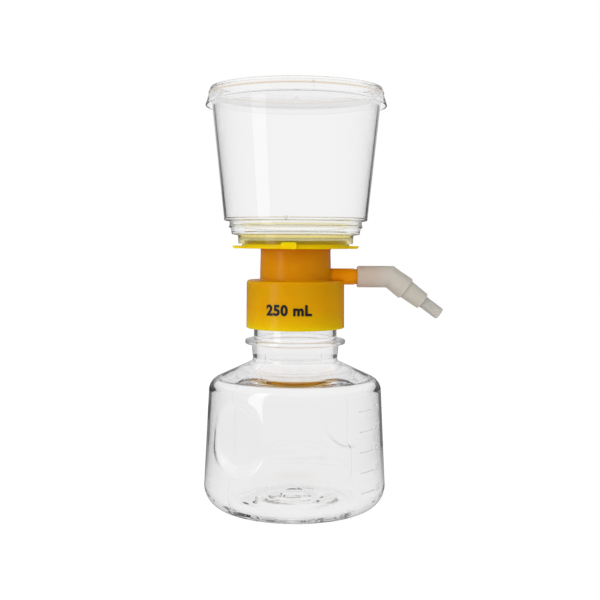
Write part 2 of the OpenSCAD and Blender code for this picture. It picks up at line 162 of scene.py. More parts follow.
def byHeight(f, rise, tones):
    # a colour ramp over height: tones are pairs of millimetres and colour, even between two pairs
    low, high = tones[0][0] * mm, tones[-1][0] * mm
    stops = [((z * mm - low) / (high - low), tone(*colour)) for z, colour in tones]
    along = (rise - low) * (1 / (high - low))
    return f.node("ShaderNodeValToRGB", {"stops": stops}, {"Fac": along})


def deeper(f, body, share):
    # a colour multiplied by a share for each channel
    settings = {"data_type": "RGBA", "blend_type": "MULTIPLY"}
    return f.node("ShaderNodeMix", settings, {0: 1.0, 6: body, 7: (*share, 1)}, out=2)


def clearPlastic(name, look):
    # clear moulding: deeper where it is seen edge on, by a power of Facing, a painted shade
    # standing in for dark outlines, with the faint ripple of a moulded wall; tones tint it by
    # height with painted light
    material, f = newFinish(name)
    facing = f.node("ShaderNodeLayerWeight", inputs={"Blend": 0.5}).out("Facing")
    edge = (facing ** look["edgePower"]) * look["edgeShare"]
    if "tones" in look:
        rise = f.node("ShaderNodeSeparateXYZ", inputs={"Vector": place(f)}).out("Z")
        body = byHeight(f, rise, look["tones"])
    else:
        body = look["body"]
    ripple = noise(f, look["rippleScale"], 1.0)
    normal = f.node("ShaderNodeBump", inputs={
        "Strength": 1.0, "Distance": look["rippleDepth"], "Height": ripple})
    principled(f, {
        "Base Color": f.blend(edge, body, look["edge"]),
        "Roughness": look["rough"], "IOR": look["ior"],
        "Transmission Weight": 1.0, "Normal": normal})
    return material


noGlow = (0, 0, 0, 1)

dyedSet = {
    "cloudScale": 26.0, "cloudDepth": 0.5, "grainScale": 900.0, "grainDepth": 0.00003,
    "roughLow": 0.2, "roughHigh": 0.26, "specular": 0.1,
    # glow is the strength of painted light: an emission where own gives it a colour
    "depth": 0.005, "depthShare": 0.7, "depthTone": (1.0, 0.5, 0.1), "glow": 0.36,
}


def dyedPlastic(name, look, own=None):
    # dyed moulding: slow clouds of a deeper tone, a fine grain in the gloss, some light scattered
    # under the surface; own gives body, deep and glow where they change over the piece, the glow
    # being painted light
    material, f = newFinish(name)
    clouds = noise(f, look["cloudScale"], 3.0)
    grain = noise(f, look["grainScale"], 2.0)
    normal = f.node("ShaderNodeBump", inputs={
        "Strength": 1.0, "Distance": look["grainDepth"], "Height": grain})
    body, deep, glow = own(f) if own else (look["body"], look["deep"], noGlow)
    principled(f, {
        "Emission Color": glow, "Emission Strength": look.get("glow", 0),
        "Base Color": f.blend(clouds * look["cloudDepth"], body, deep),
        "Roughness": grain * (look["roughHigh"] - look["roughLow"]) + look["roughLow"],
        "Specular IOR Level": look["specular"], "Normal": normal,
        "Subsurface Weight": look.get("depthShare", 0),
        "Subsurface Scale": look.get("depth", 0.001),
        "Subsurface Radius": look.get("depthTone", (1.0, 1.0, 1.0))})
    return material


yellowSet = {
    # height in millimetres and tone there: collar, its top, tube, under the disc, disc, land; the
    # collar's lighter foot and the darker orange of the tube and under the disc are painted light
    # and shade
    "tones": [
        (87.8, (244, 206, 0)), (89.6, (236, 190, 0)), (92.5, (228, 176, 0)),
        (98.0, (219, 162, 0)), (110.6, (211, 154, 0)),
        (111.4, (214, 145, 0)), (124.0, (216, 141, 0)), (126.0, (224, 132, 0)),
        (126.5, (250, 202, 0)), (128.4, (252, 212, 0)), (130.0, (248, 214, 20))],
    "arm": (250, 154, 0), "armStart": 17.3, "armTop": 118.0, "armFade": 1.25,
    "collarSide": 23.5, "collarInside": 23.0, "web": 111.0, "webTop": 111.3, "fade": 0.5,
    "deepShare": (0.9, 0.873, 0.9),
}


def yellowTones(f):
    # the thick collar is gold, the tube and the arm are deeper, the thin disc is lighter; the
    # collar's lighter foot and the deeper orange of the tube and the arm are painted light and
    # shade;
    # look holds the places in metres
    look = {key: value * mm for key, value in yellowSet.items() if isinstance(value, float)}
    split = f.node("ShaderNodeSeparateXYZ", inputs={"Vector": place(f)})
    across, deepIn, rise = split.out("X"), split.out("Y"), split.out("Z")
    body = byHeight(f, rise, yellowSet["tones"])
    side, armStart, webTop = look["collarSide"], look["armStart"], look["webTop"]
    onArm = ramped(across, armStart, armStart + look["armFade"])
    onCollar = ramped(across, side, side - look["armFade"])
    onCollar = onCollar.least(ramped(rise, webTop, webTop - look["fade"]))
    onDisc = ramped(rise, look["armTop"], look["armTop"] + mm)
    body = f.blend((onArm - onCollar - onDisc).most(0), body, tone(*yellowSet["arm"]))
    # painted light: inside the collar a glow stands in for the light that its wall lets through,
    # fading out towards its outer skin and its web
    radius = f.node("ShaderNodeMath", {"operation": "SQRT"}, {0: across ** 2 + deepIn ** 2})
    inner, web = look["collarInside"], look["web"]
    inside = ramped(radius, inner, inner - look["fade"]) * ramped(rise, web, web - look["fade"])
    return body, deeper(f, body, yellowSet["deepShare"]), f.blend(inside, noGlow, body)


adapterSet = {
    # warm where the yellow arm stands inside it, a painted reflection of the arm's yellow, neutral
    # beyond
    "warm": tone(212, 193, 179), "body": tone(206, 200, 191), "warmEnd": 37.5, "bodyStart": 45.0,
    "cloudScale": 40.0, "cloudDepth": 1.0, "grainScale": 1300.0, "grainDepth": 0.00003,
    "roughLow": 0.36, "roughHigh": 0.46, "specular": 0.4,
    "depth": 0.006, "depthShare": 0.8, "depthTone": (1.0, 0.9, 0.8),
    "deepShare": (0.93, 0.93, 0.9114),
}


def adapterTones(f):
    # warm up to one place along the arm, a painted reflection of its yellow, neutral from another
    # on, evenly mixed between them
    look = adapterSet
    across = f.node("ShaderNodeSeparateXYZ", inputs={"Vector": place(f)}).out("X")
    beyond = ramped(across, look["warmEnd"] * mm, look["bodyStart"] * mm)
    body = f.blend(beyond, look["warm"], look["body"])
    return body, deeper(f, body, look["deepShare"]), noGlow


membraneSet = {
    "body": tone(250, 249, 244), "deep": tone(242, 240, 232),
    "cloudScale": 70.0, "cloudDepth": 1.0, "grainScale": 5000.0, "grainDepth": 0.00002,
    "roughLow": 0.8, "roughHigh": 0.95, "specular": 0.1,
}

plugSet = {
    "body": tone(248, 247, 242), "deep": tone(226, 224, 216),
    "cloudScale": 900.0, "cloudDepth": 1.0, "grainScale": 2600.0, "grainDepth": 0.0002,
    "roughLow": 0.85, "roughHigh": 0.98, "specular": 0.1,
}

gasketSet = {
    "body": tone(232, 231, 226), "deep": tone(222, 221, 215),
    "cloudScale": 60.0, "cloudDepth": 1.0, "grainScale": 1800.0, "grainDepth": 0.00004,
    "roughLow": 0.55, "roughHigh": 0.65, "specular": 0.3,
}

finishes = {
    "receiver_bottle": clearPlastic("clearBottle", bottleLook),
    "funnel_cup": clearPlastic("clearCup", cupLook),
    "lid": clearPlastic("clearLid", lidLook),
    "filter_base": dyedPlastic("yellowBase", dyedSet, yellowTones),
    "hose_adapter": dyedPlastic("whiteAdapter", adapterSet, adapterTones),
    "filter_membrane": dyedPlastic("whiteMembrane", membraneSet),
    "side_arm_plug": dyedPlastic("cottonPlug", plugSet),
    "neck_gasket": dyedPlastic("gasketRubber", gasketSet),
}

inkSet = {
    "body": tone(16, 16, 18), "deep": tone(30, 30, 32),
    "cloudScale": 300.0, "cloudDepth": 0.6, "grainScale": 2500.0, "grainDepth": 0.00001,
    "roughLow": 0.4, "roughHigh": 0.55, "specular": 0.3,
}
ink = dyedPlastic("printInk", inkSet)

for name, material in finishes.items():
    for slot in nodes[name].material_slots:
        slot.material = material
print("finishes: %d" % len(finishes))


def addPiece(name, points, faces, material, body, creaseAngle=40.0):
    # closed mesh in metres from points in millimetres; turned outward by the sign of its volume
    points, faces = np.asarray(points, float) * mm, np.asarray(faces, int)
    first, second, third = (points[faces[:, k]] for k in range(3))
    if np.einsum("ij,ij->", first, np.cross(second, third)) < 0:
        faces = faces[:, ::-1]
    mesh = bpy.data.meshes.new(name)
    mesh.from_pydata(points.tolist(), [], faces.tolist())
    mesh.polygons.foreach_set("use_smooth", [True] * len(mesh.polygons))
    mesh.set_sharp_from_angle(angle=math.radians(creaseAngle))
    mesh.materials.append(material)
    piece = bpy.data.objects.new(name, mesh)
    bpy.context.scene.collection.objects.link(piece)
    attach(piece, body)
    print("%s: %d triangles" % (name, len(faces)))
    return piece


def gridFaces(rows, columns, wrapRows, wrapColumns):
    # quads between neighbours on a grid, each split into two triangles
    i = np.arange(rows if wrapRows else rows - 1)[:, None]
    j = np.arange(columns if wrapColumns else columns - 1)[None, :]
    a, b = i * columns + j, i * columns + (j + 1) % columns
    nextRow = ((i + 1) % rows) * columns
    c, d = nextRow + (j + 1) % columns, nextRow + j
    lower = np.stack([a, b, c], -1).reshape(-1, 3)
    upper = np.stack([a, c, d], -1).reshape(-1, 3)
    return np.concatenate([lower, upper])


def around(angle, radius, height):
    # cylinder coordinates to points: radius times cosine, radius times sine, height
    level = height + 0 * angle * radius
    return np.stack([radius * np.cos(angle), radius * np.sin(angle), level], -1)


def closedTube(grid):
    # points and faces of a tube given as rings, its two ends closed by a fan to their middle
    rows, columns = grid.shape[:2]
    points, ends = grid.reshape(-1, 3), grid[[0, -1]].mean(1)
    j, last = np.arange(columns), (rows - 1) * columns
    low = np.stack([np.full(columns, len(points)), (j + 1) % columns, j], -1)
    high = np.stack([np.full(columns, len(points) + 1), last + j, last + (j + 1) % columns], -1)
    faces = np.concatenate([gridFaces(rows, columns, False, True), low, high])
    return np.concatenate([points, ends]), faces


def turned(radius, height, angle):
    # points and faces of an outline turned about the upright axis; radius and height are grids of
    # outline by angle, and an outline that starts and ends at radius 0 is closed there by a fan
    grid = around(angle, radius, height)
    if radius[0, 0] == 0:
        return closedTube(grid[1:-1])
    rows, columns = radius.shape
    return grid.reshape(-1, 3), gridFaces(rows, columns, True, True)


def joined(parts):
    # several closed forms as the points and faces of one mesh
    starts = np.cumsum([0] + [len(points) for points, faces in parts[:-1]])
    return (np.concatenate([points for points, faces in parts]),
            np.concatenate([faces + start for (points, faces), start in zip(parts, starts)]))


def roundedOutline(corners, closed, steps=7):
    # polyline through (radius, height, rounding) corners; each rounding is an arc that is tangent
    # to both sides, at rounding times tan(half the turn) from the corner
    corners = np.array(corners, float)
    at, rounding = corners[:, :2], corners[:, 2]
    back, ahead = np.roll(at, 1, 0) - at, np.roll(at, -1, 0) - at
    back = back / np.linalg.norm(back, axis=1, keepdims=True)
    ahead = ahead / np.linalg.norm(ahead, axis=1, keepdims=True)
    turn = np.pi - np.arccos(np.clip((back * ahead).sum(1), -1, 1))
    reach = rounding * np.tan(turn / 2)
    middle = back + ahead
    middle = middle / np.maximum(np.linalg.norm(middle, axis=1, keepdims=True), 1e-9)
    centre = at + middle * (rounding / np.maximum(np.cos(turn / 2), 1e-9))[:, None]
    start = at + back * reach[:, None] - centre
    side = np.sign(start[:, 0] * ahead[:, 1] - start[:, 1] * ahead[:, 0])
    a = np.linspace(0, 1, steps)[None, :] * (turn * side)[:, None]
    x = start[:, :1] * np.cos(a) - start[:, 1:] * np.sin(a)
    z = start[:, :1] * np.sin(a) + start[:, 1:] * np.cos(a)
    outline = np.stack([x, z], -1) + centre[:, None]
    if not closed:
        outline[0], outline[-1] = at[0], at[-1]
    outline = outline.reshape(-1, 2)
    keep = np.linalg.norm(outline - np.roll(outline, 1, 0), axis=1) > 1e-5
    return outline[keep | ((np.arange(len(outline)) == 0) & (not closed))]


def arcPoints(x, z, rx, rz, start, end, count):
    # ellipse arc: centre plus the radii times cosine and sine of the angle
    a = np.radians(np.linspace(start, end, count))
    return np.stack([x + rx * np.cos(a), z + rz * np.sin(a)], -1)


def between(start, end, count):
    # straight run of points, without its end point
    t = np.linspace(0, 1, count, endpoint=False)[:, None]
    return np.asarray(start) * (1 - t) + np.asarray(end) * t


def softStep(low, high, value):
    # 0 below low, 1 above high, 3t^2 - 2t^3 between them
    t = np.clip((value - low) / (high - low), 0, 1)
    return t * t * (3 - 2 * t)


bottleSet = {
    # outside: heel, side, shoulder, neck ring, neck and lip
    "heelR": 44.4, "heel": 11.0, "footFlat": 1.0, "sideTopR": 42.1, "sideRun": 46.14,
    "shoulderZ": 70.9, "slope": 25.0, "corner": 7.0, "neckLow": 20.6, "fillet": 2.0,
    "underRing": 21.3, "ring": 24.4, "ringLow": 80.1, "ringTop": 82.1, "ringRound": 0.5,
    "rootRound": 0.4, "neck": 20.2, "threadLow": 84.0, "threadHigh": 106.0,
    "mouth": 107.3, "lipRound": 0.3,
    # inside: thin walls, a thick shoulder and the neck's bore
    "wall": 1.3, "floor": 2.2, "innerCorner": 4.5, "innerCornerZ": 58.9, "innerSlope": 13.5,
    "innerBend": 31.0, "innerNeckZ": 73.5, "bore": 18.7,
    # arched underside
    "punt": 3.6, "puntBoss": 6.5, "puntRing": 16.0, "puntStep": 0.45, "stepWidth": 5.0,
    # wavy floor: how high, the radii between which it starts and ends, and for each wave its
    # number round, turn with the radius, phase and share
    "ripple": 0.4, "rippleStart": (4, 11), "rippleEnd": (19, 27),
    "waves": [(2, 0.12, 0.7, 1.0), (3, -0.31, 0.0, 0.7)],
    # azimuth, radius, height, length along the ring, width across it
    "thickPlaces": [
        (192, 23, 2.0, 9, 3.0), (-18, 18, 2.0, 10, 3.0), (175, 10, 1.4, 4, 2.0),
        (10, 9, 1.2, 4, 2.0), (270, 12, 1.2, 6, 2.4), (90, 8, 0.9, 6, 2.0)],
    # two round grip panels in the side: gripR is the side's radius at their middle, gripReach
    # the degrees and gripZone the heights that they stay within
    "gripAzimuth": 230.0, "gripZ": 39.0, "gripR": 43.0, "gripDepth": 2.7,
    "gripFlat": 13.4, "gripEdge": 18.2, "gripReach": 60.0, "gripZone": (6.6, 61.0),
    # two seam lines
    "seamAzimuth": -133.0, "seamHeight": 0.16, "seamWidth": 0.35, "seamR": 42.0,
    # where outside, seams and floor begin or end, to keep each of these forms on its own skin
    "outsideFrom": 3.0, "seamFromR": 15.0, "floorZ": 8.0, "floorR": 30.0,
    "turns": 220,
}

threadSet = {
    "pitch": 4.0, "taper": 0.09,
    "start": 92.4, "turns": 2.5, "neckCrest": 1.3, "neckBase": 2.0, "neckTop": 1.0,
    "collarStart": 92.9, "collarTurns": 2.4, "collarSteps": 260, "collarSunk": 0.4,
    "collarRoot": 22.1, "collarCrest": 20.85, "collarBase": 1.8, "collarTop": 0.8,
}


def puntHeight(r, look):
    # arch of the underside over radius r: a fall from the middle to the foot with two soft steps
    foot = look["heelR"] - look["heel"] - look["footFlat"]
    boss, ring, h, w = (look[k] for k in ("puntBoss", "puntRing", "puntStep", "stepWidth"))
    slope = (look["punt"] - 3 * h) * (1 - softStep(ring, foot, r))
    slope = slope + h * (1 - np.clip((r - boss) / (ring - boss), 0, 1))
    steps = h * (1 - softStep(boss, boss + w, r)) + h * (1 - softStep(ring, ring + w, r))
    return slope + steps


def floorRipple(angle, r, look):
    # the floor's upper face is wavy: slow waves round it that turn with the radius, and smooth
    # humps, each the bell of the way along its ring and across it
    waves = sum(share * np.sin(count * angle + phase + r * twist)
                for count, twist, phase, share in look["waves"])
    start, end = softStep(*look["rippleStart"], r), softStep(*look["rippleEnd"], r)
    low = look["ripple"] * waves * start * (1 - end)
    for azimuth, out, height, along, across in look["thickPlaces"]:
        turn = np.radians((np.degrees(angle) - azimuth + 180) % 360 - 180) * out
        low = low + height * np.exp(-(turn / along) ** 2 - ((r - out) / across) ** 2)
    return low


def shoulderPoints(look):
    # side to neck: an arc of the corner radius, a straight cone, and the arc of the neck's fillet,
    # each tangent to the next
    slope, corner, fillet, sideR = (look[k] for k in ("slope", "corner", "fillet", "sideTopR"))
    tilt = math.radians(slope)
    filletX, filletZ = look["neckLow"] + fillet, look["shoulderZ"] + fillet
    coneL = sideR - corner * (1 - math.sin(tilt)) - filletX + fillet * math.sin(tilt)
    cornerZ = filletZ - (fillet + corner) * math.cos(tilt) - coneL * math.tan(tilt)
    low = arcPoints(sideR - corner, cornerZ, corner, corner, 0, 90 - slope, 16)
    high = arcPoints(filletX, filletZ, fillet, fillet, 270 - slope, 180, 10)
    return np.concatenate([low, between(low[-1], high[0], 6)[1:], high])


def bottleProfile(look):
    # half outline as points (radius, height): underside, outside, mouth, inside, floor
    foot, heel, wall = look["heelR"] - look["heel"], look["heel"], look["wall"]
    neck, bore, mouth = look["neck"], look["bore"], look["mouth"]
    r = np.linspace(0, foot - look["footFlat"], 44)
    underside = np.stack([r, puntHeight(r, look)], -1)
    heelArc = arcPoints(foot, heel, heel, heel, -90, 0, 22)
    outer = shoulderPoints(look)
    side = between((look["heelR"], heel), outer[0], 56)[1:]
    k, root, lip = look["ringRound"], look["rootRound"], look["lipRound"]
    rootLow = arcPoints(look["underRing"] + root, look["ringLow"] - root, root, root, 180, 90, 5)
    ringLow = arcPoints(look["ring"] - k, look["ringLow"] + k, k, k, -90, 0, 6)
    ringTop = arcPoints(look["ring"] - k, look["ringTop"] - k, k, k, 0, 90, 6)
    rootTop = arcPoints(neck + root, look["ringTop"] + root, root, root, 270, 180, 5)
    threadZone = between((neck, look["threadLow"]), (neck, look["threadHigh"]), 58)
    lipOut = arcPoints(neck - lip, mouth - lip, lip, lip, 0, 90, 4)
    lipIn = arcPoints(bore + lip, mouth - lip, lip, lip, 90, 180, 4)
    # inside, the wall is thick over the shoulder: an arc turns the side into a flatter cone, and a
    # parabola tangent to it bends up into the bore
    innerSideR, k, tilt = look["sideTopR"] - wall, look["innerCorner"], look["innerSlope"]
    corner = arcPoints(innerSideR - k, look["innerCornerZ"], k, k, 90 - tilt, 0, 16)
    bendEnds = np.array([look["innerBend"], bore])
    coneZ = corner[0, 1] + (corner[0, 0] - bendEnds) * math.tan(math.radians(tilt))
    t = np.linspace(0, 1, 24)[:, None]
    bend = ((1 - t) ** 2 * [bore, look["innerNeckZ"]] + 2 * t * (1 - t) * [bore, coneZ[1]]
            + t ** 2 * [look["innerBend"], coneZ[0]])
    inner = np.concatenate([bend, between(bend[-1], corner[0], 5)[1:], corner])
    throat = between((bore, inner[0][1] + 4), inner[0], 8)
    innerSide = between(inner[-1], (look["heelR"] - wall, heel), 50)[1:]
    innerHeel = arcPoints(foot, heel, heel - wall, heel - look["floor"], 0, -90, 18)
    floorTop = np.stack([r, puntHeight(r, look) + look["floor"]], -1)[::-1]
    return np.concatenate([
        underside, heelArc, side, outer, rootLow, ringLow, ringTop, rootTop, threadZone,
        lipOut, lipIn, throat, inner, innerSide, innerHeel, floorTop])


def gripPull(angle, r, z, look):
    # how far the two round grip panels draw the wall in: the drop to a flat plane, faded out round
    # its edge
    pull, side = np.zeros(np.broadcast(angle, r).shape), look["gripR"]
    for turn in (0, 180):
        away = np.radians((np.degrees(angle) - look["gripAzimuth"] - turn + 180) % 360 - 180)
        near = np.cos(away).clip(0.5)
        reach = np.hypot(side * np.sin(away), z - look["gripZ"])
        drop = (r - (side - look["gripDepth"]) / near).clip(0)
        inFront = np.abs(away) < math.radians(look["gripReach"])
        pull = pull + inFront * drop * (1 - softStep(look["gripFlat"], look["gripEdge"], reach))
    return pull


def neckThread(angle, z, look):
    # a right-hand helix that climbs one pitch a turn: how far the neck's skin stands out, a flat
    # crest between two soft flanks, run out at both ends
    climb = (z - look["start"]) / look["pitch"] - angle / (2 * np.pi)
    nearest = np.clip(np.round(climb), 0, None)
    away = np.abs(climb - nearest) * look["pitch"]
    turn, last, taper = nearest + angle / (2 * np.pi), look["turns"], look["taper"]
    runOut = softStep(0, taper, turn) * (1 - softStep(last - taper, last, turn))
    flank = softStep(look["neckTop"] / 2, look["neckBase"] / 2, away)
    return look["neckCrest"] * runOut * (1 - flank)


def makeBottle(look):
    # the outline turned about the axis, with the grip panels drawn in, two seam lines, the neck's
    # thread and the wavy floor; extra columns stand beside each seam
    profile = bottleProfile(look)
    r, z = profile[:, :1], profile[:, 1:]
    seams = np.radians(look["seamAzimuth"] + np.array([0, 180]))
    beside = np.linspace(-1, 1, 9) * 3 * look["seamWidth"] / look["seamR"]
    angle = np.linspace(0, 2 * np.pi, look["turns"], endpoint=False)
    angle = np.concatenate([angle, *(seam % (2 * np.pi) + beside for seam in seams)])
    angle = np.unique(np.round(angle, 5))[None, :]
    beforeMouth = np.arange(len(profile))[:, None] <= np.argmax(profile[:, 1])
    outside = beforeMouth & (z > look["outsideFrom"])
    low, high = look["gripZone"]
    inSide = (z > low) & (z < high) & (r > look["floorR"])
    skin = np.where(outside, 0, look["wall"])
    radius = r - gripPull(angle, r + skin, z, look) * inSide
    onSeam = outside & (z < look["ringLow"] - 1) & (r > look["seamFromR"])
    for seam in seams:
        away = (angle - seam + np.pi) % (2 * np.pi) - np.pi
        ridge = look["seamHeight"] * np.exp(-(away * look["seamR"] / look["seamWidth"]) ** 2)
        radius = radius + ridge * onSeam
    onNeck = outside & (z > look["threadLow"]) & (z < look["threadHigh"])
    radius = radius + neckThread(angle, z, threadSet) * onNeck
    onFloor = ~beforeMouth & (z < look["floorZ"]) & (r < look["floorR"])
    points, faces = turned(radius, z + floorRipple(angle, r, look) * onFloor, angle)
    bottle = addPiece("bottleShell", points, faces, finishes["receiver_bottle"], "bottle")
    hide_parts("receiver_bottle")


makeBottle(bottleSet)


cupSet = {
    # outline corners as radius, height, rounding: outside from the foot up, then inside down
    "corners": [
        (25.4, 128.6, 0.15), (28.1, 128.6, 0.3), (28.1, 133.1, 0.5), (31.6, 133.1, 0.6),
        (31.6, 136.2, 0.15), (32.45, 136.2, 0.3), (32.45, 137.3, 0.3), (32.1, 137.3, 0.1),
        (32.1, 139.6, 0.3), (34.7, 139.6, 0.8), (40.4, 194.6, 1.5), (40.96, 197.4, 1.5),
        (40.96, 202.1, 0.35), (39.96, 202.1, 0.35), (33.62, 140.8, 0.6), (30.9, 140.8, 0.4),
        (30.9, 137.3, 0.2), (30.4, 136.2, 0.2), (30.4, 134.3, 0.3), (26.9, 134.3, 0.3),
        (26.9, 131.2, 0.3), (23.2, 131.2, 0.2), (23.2, 130.3, 0.15), (25.4, 130.3, 0.1)],
    "turns": 300,
}

lidSet = {
    "corners": [
        (0, 197.7, 0), (37.7, 197.7, 0.12), (38.26, 203.1, 0.5), (42.26, 203.1, 1.0),
        (42.26, 200.6, 0.2), (42.0, 200.3, 0.15), (43.76, 194.5, 0.3), (43.16, 194.5, 0.25),
        (41.26, 200.3, 0.8), (41.26, 202.1, 0.2), (39.26, 202.1, 0.3),
        (38.6, 196.9, 0.12), (0, 196.9, 0)],
    "turns": 300,
}


def makeTurned(name, look, node, body):
    # one closed outline turned about the axis
    closed = look["corners"][0][0] > 0
    outline = roundedOutline(look["corners"], closed)
    angle = np.linspace(0, 2 * np.pi, look["turns"], endpoint=False)[None, :]
    radius, height = outline[:, :1] + 0 * angle, outline[:, 1:] + 0 * angle
    points, faces = turned(radius, height, angle)
    piece = addPiece(name, points, faces, finishes[node], body, 50.0)
    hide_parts(node)


makeTurned("cupShell", cupSet, "funnel_cup", "filter_head")
makeTurned("lidShell", lidSet, "lid", "cover")


def makeCollarThread(look):
    # a ring of six outline points carried along the helix that fits between the neck's turns; the
    # crest sinks back into the collar's bore at both ends
    last, taper = look["collarTurns"], look["taper"]
    turn = np.linspace(0, last, look["collarSteps"])[:, None]
    runOut = softStep(0, taper, turn) * (1 - softStep(last - taper, last, turn))
    base, top = look["collarBase"] / 2, look["collarTop"] / 2
    root = np.full_like(turn, look["collarRoot"])
    sunk, crest = root + look["collarSunk"], root - (root - look["collarCrest"]) * runOut
    radius = np.concatenate([sunk, root, crest, crest, root, sunk], 1)
    offset = np.array([[-base, -base, -top, top, base, base]])
    height = look["collarStart"] + look["pitch"] * (turn + 0.5) + offset
    points, faces = closedTube(around(2 * np.pi * turn, radius, height))
    piece = addPiece("collarThread", points, faces, finishes["filter_base"], "filter_head", 30.0)


makeCollarThread(threadSet)


textSet = {"extrude": 0.5, "curveSteps": 4, "sameSpot": 1e-4, "cutFrom": 0.05, "cutPitch": 0.08}


def textPoints(words, height, thick, bold, spacing=1.0):
    # built-in letters as a merged mesh: triangles, capital height as given, centred on their
    # width; upright cuts let them bend round a body
    look = textSet
    curve = bpy.data.curves.new("letters", "FONT")
    curve.body, curve.offset, curve.space_character = words, bold, spacing
    curve.extrude, curve.resolution_u = look["extrude"], look["curveSteps"]
    holder = bpy.data.objects.new("letters", curve)
    bpy.context.scene.collection.objects.link(holder)
    graph = bpy.context.evaluated_depsgraph_get()
    flat = bpy.data.meshes.new_from_object(holder.evaluated_get(graph))
    work = bmesh.new()
    work.from_mesh(flat)
    bmesh.ops.remove_doubles(work, verts=work.verts, dist=look["sameSpot"])
    for x in np.arange(look["cutFrom"], holder.dimensions.x, look["cutPitch"]):
        bmesh.ops.bisect_plane(work, geom=work.verts[:] + work.edges[:] + work.faces[:],
                               plane_co=(x, 0, 0), plane_no=(1, 0, 0))
    bmesh.ops.triangulate(work, faces=work.faces)
    points = np.array([v.co for v in work.verts])
    work.verts.index_update()
    faces = np.array([[v.index for v in face.verts] for face in work.faces])
    work.free()
    bpy.data.objects.remove(holder)
    bpy.data.meshes.remove(flat)
    middle = (points[:, 0].min() + points[:, 0].max()) / 2
    scale = height / (points[:, 1].max() - points[:, 1].min())
    points = (points - [middle, points[:, 1].min(), 0]) * [scale, scale, thick]
    return points, faces


def wrapped(points, azimuth, z, radiusAt, sunk):
    # flat letters laid round an upright body: width becomes angle, height stays, depth is radial
    height = z + points[:, 1]
    radius = radiusAt(height)
    angle = math.radians(azimuth) + points[:, 0] / radius
    return around(angle, radius + points[:, 2] - sunk, height)


printSet = {
    "words": "250 mL", "capHeight": 5.4, "bold": 0.045, "spacing": 1.08,
    "thick": 0.24, "sunk": 0.06, "azimuth": -97.5, "foot": 94.9,
    # height and radius at the collar's two ends
    "collarLow": (87.8, 23.9), "collarHigh": (111.0, 23.75),
}


def makePrint(look):
    # the words laid round the collar, whose radius runs evenly from its low end to its high one
    (z0, r0), (z1, r1) = look["collarLow"], look["collarHigh"]
    points, faces = textPoints(
        look["words"], look["capHeight"], look["thick"], look["bold"], look["spacing"])
    points = wrapped(
        points, look["azimuth"], look["foot"],
        lambda z: r0 + (r1 - r0) * (z - z0) / (z1 - z0), look["sunk"])
    piece = addPiece("collarPrint", points, faces, ink, "filter_head", 30.0)


makePrint(printSet)


scaleSet = {
    "first": 13.3, "pitch": 9.5, "volumes": ("50", "100", "150", "200", "250"),
    # dashes: azimuths of their ends, rise and width, and how far and how late the ends are pinched
    "from": -45.5, "to": -30.5, "rise": 0.16, "width": 0.42, "pinch": 0.98, "pinchPower": 8,
    "dashSteps": 40, "dashSides": 12,
    # numerals: the drop is the share of their height under the dash's middle
    "numeralHeight": 3.1, "numeralFrom": -28.6, "numeralDrop": 0.3,
    "thick": 0.3, "sunk": 0.05, "bold": 0.005,
}


def sideRadius(z):
    # the bottle's side leans in evenly from the heel to the shoulder's corner
    look = bottleSet
    leanIn = look["sideTopR"] - look["heelR"]
    return look["heelR"] + leanIn * (z - look["heel"]) / look["sideRun"]


def makeScale(look):
    # raised dashes: a flat ellipse carried round the side, pinched at both ends, and numerals
    # beside them
    t = np.linspace(0, 1, look["dashSteps"])[:, None]
    q = np.linspace(0, 2 * np.pi, look["dashSides"], endpoint=False)[None, :]
    pinch = np.sqrt(1 - (2 * t - 1) ** look["pinchPower"] * look["pinch"])
    angle = np.radians(look["from"] + (look["to"] - look["from"]) * t) + 0 * q
    parts = []
    for count, volume in enumerate(look["volumes"]):
        z = look["first"] + count * look["pitch"]
        height = z + look["width"] / 2 * pinch * np.cos(q)
        radius = sideRadius(height) + look["rise"] * pinch * np.sin(q)
        parts.append(closedTube(around(angle, radius, height)))
        points, faces = textPoints(volume, look["numeralHeight"], look["thick"], look["bold"])
        start = look["numeralFrom"] + math.degrees(-points[:, 0].min() / sideRadius(z))
        foot = z - look["numeralHeight"] * look["numeralDrop"]
        parts.append((wrapped(points, start, foot, sideRadius, look["sunk"]), faces))
    for name, chosen in (("scaleDashes", parts[0::2]), ("scaleNumerals", parts[1::2])):
        piece = addPiece(name, *joined(chosen), finishes["receiver_bottle"], "bottle", 30.0)


makeScale(scaleSet)


gateSet = {
    "sunk": 0.08,
    # azimuth, radius, height, half width, half height and rise of each mark that a gate left, and
    # the node, slot and body it belongs to
    "marks": {
        "lidGate": (-79.5, 42.6, 199.2, 0.75, 1.9, 0.45, "lid", "clear_cup", "cover"),
        "cupGate": (-97.0, 34.75, 140.6, 0.7, 1.2, 0.5, "funnel_cup", "clear_cup", "filter_head"),
        "discGate": (
            -92.5, 26.0, 126.6, 1.1, 0.9, 0.25, "filter_base", "yellow_base", "filter_head")},
    # the lid's own gate stands in the middle of its panel
    "nubR": 1.2, "nubRise": 1.9, "nubZ": 197.7,
    "climb": 1.5, "rings": 9, "sides": 20,
}


def dome(halfWidth, halfHeight, rise, look):
    # half an ellipsoid over a flat base: cosine of the climb shrinks each ring, its sine lifts it
    climb = np.linspace(0, look["climb"], look["rings"])[:, None]
    turn = np.linspace(0, 2 * np.pi, look["sides"], endpoint=False)[None, :]
    return closedTube(np.stack([
        halfWidth * np.cos(climb) * np.cos(turn), halfHeight * np.cos(climb) * np.sin(turn),
        rise * np.sin(climb) - look["sunk"] + 0 * turn], -1))


